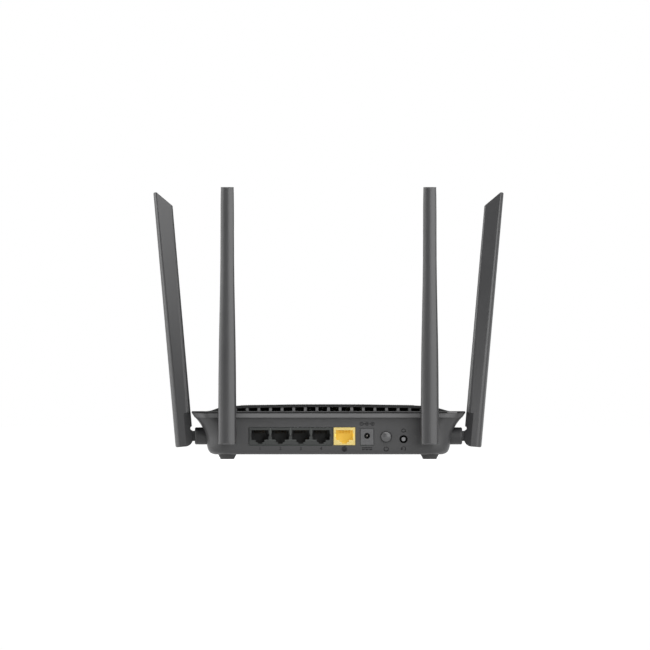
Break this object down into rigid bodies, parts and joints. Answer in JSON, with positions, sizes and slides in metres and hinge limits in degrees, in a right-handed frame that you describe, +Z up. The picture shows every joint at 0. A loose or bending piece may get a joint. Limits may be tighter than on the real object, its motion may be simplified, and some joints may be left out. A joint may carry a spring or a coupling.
{
  "type": "wireless router",
  "caption": "Desktop wireless router: flared dark case with a raised vented deck, folding antennas on the rear and sides, and a rear panel of sockets and buttons.",
  "frame": {"origin": "on the table plane, at the centre of the whole object's footprint with the antennas up", "axes": "+Z up, +Y out of the connector side, +X to the right seen from the front"},
  "size_m": [0.2406, 0.1564, 0.186],
  "materials": {
    "case_plastic": "fine spark-eroded texture, dark grey",
    "cover_plastic": "black, satin to gloss",
    "antenna_plastic": "fine texture, dark grey",
    "foot_rubber": "matte",
    "label_film": "blank satin film",
    "clear_plastic": "clear moulded polycarbonate",
    "board_laminate": "green solder mask on glass laminate",
    "black_socket_plastic": "glass-filled moulding",
    "yellow_socket_plastic": "glass-filled moulding, yellow",
    "gold_contact": "gold flash",
    "plated_pin": "nickel plate",
    "button_plastic": "satin",
    "reset_plastic": "satin",
    "screw_steel": "black oxide",
    "chip_resin": "moulded epoxy",
    "pad_silicone": "soft silicone",
    "sink_aluminium": "extruded, anodised",
    "tinned_steel": "tinned",
    "capacitor_sleeve": "shrink sleeve",
    "inductor_ferrite": "ferrite",
    "lamp_lens": "moulded lens",
    "radiator_brass": "rolled",
    "lead_jacket": "fluoropolymer jacket"
  },
  "bodies": {
    "case": {"lower_case": "case_plastic", "top_cover": "cover_plastic", "rubber_feet": "foot_rubber", "underside_label": "label_film", "light_guide": "clear_plastic", "vent_grille": "case_plastic", "main_board": "board_laminate", "lan_socket_block": "black_socket_plastic", "lan_contacts": "gold_contact", "wan_socket": "yellow_socket_plastic", "wan_contacts": "gold_contact", "power_jack": "black_socket_plastic", "power_jack_pin": "plated_pin", "power_switch": "black_socket_plastic", "reset_switch": "black_socket_plastic", "board_screws": "screw_steel", "case_screws": "screw_steel", "main_processor": "chip_resin", "thermal_pad": "pad_silicone", "heat_sink": "sink_aluminium", "memory_chips": "chip_resin", "flash_chip": "chip_resin", "radio_chips": "chip_resin", "shield_can_left": "tinned_steel", "shield_can_right": "tinned_steel", "isolation_transformers": "chip_resin", "capacitors": "capacitor_sleeve", "power_inductors": "inductor_ferrite", "crystals": "tinned_steel", "status_lamps": "lamp_lens", "coax_sockets": "gold_contact", "rear_left_lead": "lead_jacket", "rear_right_lead": "lead_jacket", "side_left_lead": "lead_jacket", "side_right_lead": "lead_jacket"},
    "rear_left_swivel": {"rear_left_knuckle": "antenna_plastic", "rear_left_retaining_ring": "tinned_steel"},
    "rear_left_antenna": {"rear_left_blade": "antenna_plastic", "rear_left_radiator": "radiator_brass"},
    "rear_right_swivel": {"rear_right_knuckle": "antenna_plastic", "rear_right_retaining_ring": "tinned_steel"},
    "rear_right_antenna": {"rear_right_blade": "antenna_plastic", "rear_right_radiator": "radiator_brass"},
    "side_left_swivel": {"side_left_knuckle": "antenna_plastic", "side_left_retaining_ring": "tinned_steel"},
    "side_left_antenna": {"side_left_blade": "antenna_plastic", "side_left_radiator": "radiator_brass"},
    "side_right_swivel": {"side_right_knuckle": "antenna_plastic", "side_right_retaining_ring": "tinned_steel"},
    "side_right_antenna": {"side_right_blade": "antenna_plastic", "side_right_radiator": "radiator_brass"},
    "power_button": {"power_button": "button_plastic", "power_plunger": "black_socket_plastic"},
    "reset_button": {"reset_plunger": "reset_plastic"}
  },
  "joints": [
    {"name": "rear_left_swivel", "type": "hinge", "parent": "case", "child": "rear_left_swivel", "pos_m": [-0.0692, 0.0722, 0.0177], "axis": [0, 1, 0], "range_deg": [-90, 45]},
    {"name": "rear_left_tilt", "type": "hinge", "parent": "rear_left_swivel", "child": "rear_left_antenna", "pos_m": [-0.0692, 0.0722, 0.0177], "axis": [-1, 0, 0], "range_deg": [0, 90]},
    {"name": "rear_right_swivel", "type": "hinge", "parent": "case", "child": "rear_right_swivel", "pos_m": [0.0692, 0.0722, 0.0177], "axis": [0, 1, 0], "range_deg": [-45, 90]},
    {"name": "rear_right_tilt", "type": "hinge", "parent": "rear_right_swivel", "child": "rear_right_antenna", "pos_m": [0.0692, 0.0722, 0.0177], "axis": [-1, 0, 0], "range_deg": [0, 90]},
    {"name": "side_left_swivel", "type": "hinge", "parent": "case", "child": "side_left_swivel", "pos_m": [-0.0995, 0.034, 0.0159], "axis": [-1, 0, 0], "range_deg": [-90, 90]},
    {"name": "side_left_tilt", "type": "hinge", "parent": "side_left_swivel", "child": "side_left_antenna", "pos_m": [-0.0995, 0.034, 0.0159], "axis": [0, -1, 0], "range_deg": [0, 85]},
    {"name": "side_right_swivel", "type": "hinge", "parent": "case", "child": "side_right_swivel", "pos_m": [0.0995, 0.034, 0.0159], "axis": [-1, 0, 0], "range_deg": [-90, 90]},
    {"name": "side_right_tilt", "type": "hinge", "parent": "side_right_swivel", "child": "side_right_antenna", "pos_m": [0.0995, 0.034, 0.0159], "axis": [0, 1, 0], "range_deg": [0, 85]},
    {"name": "power_press", "type": "slide", "parent": "case", "child": "power_button", "axis": [0, -1, 0], "range_m": [0, 0.0025], "stiffness_N_per_m": 800, "springref_m": -0.0005},
    {"name": "reset_press", "type": "slide", "parent": "case", "child": "reset_button", "axis": [0, -1, 0], "range_m": [0, 0.0005], "stiffness_N_per_m": 2500, "springref_m": -0.0001}
  ]
}
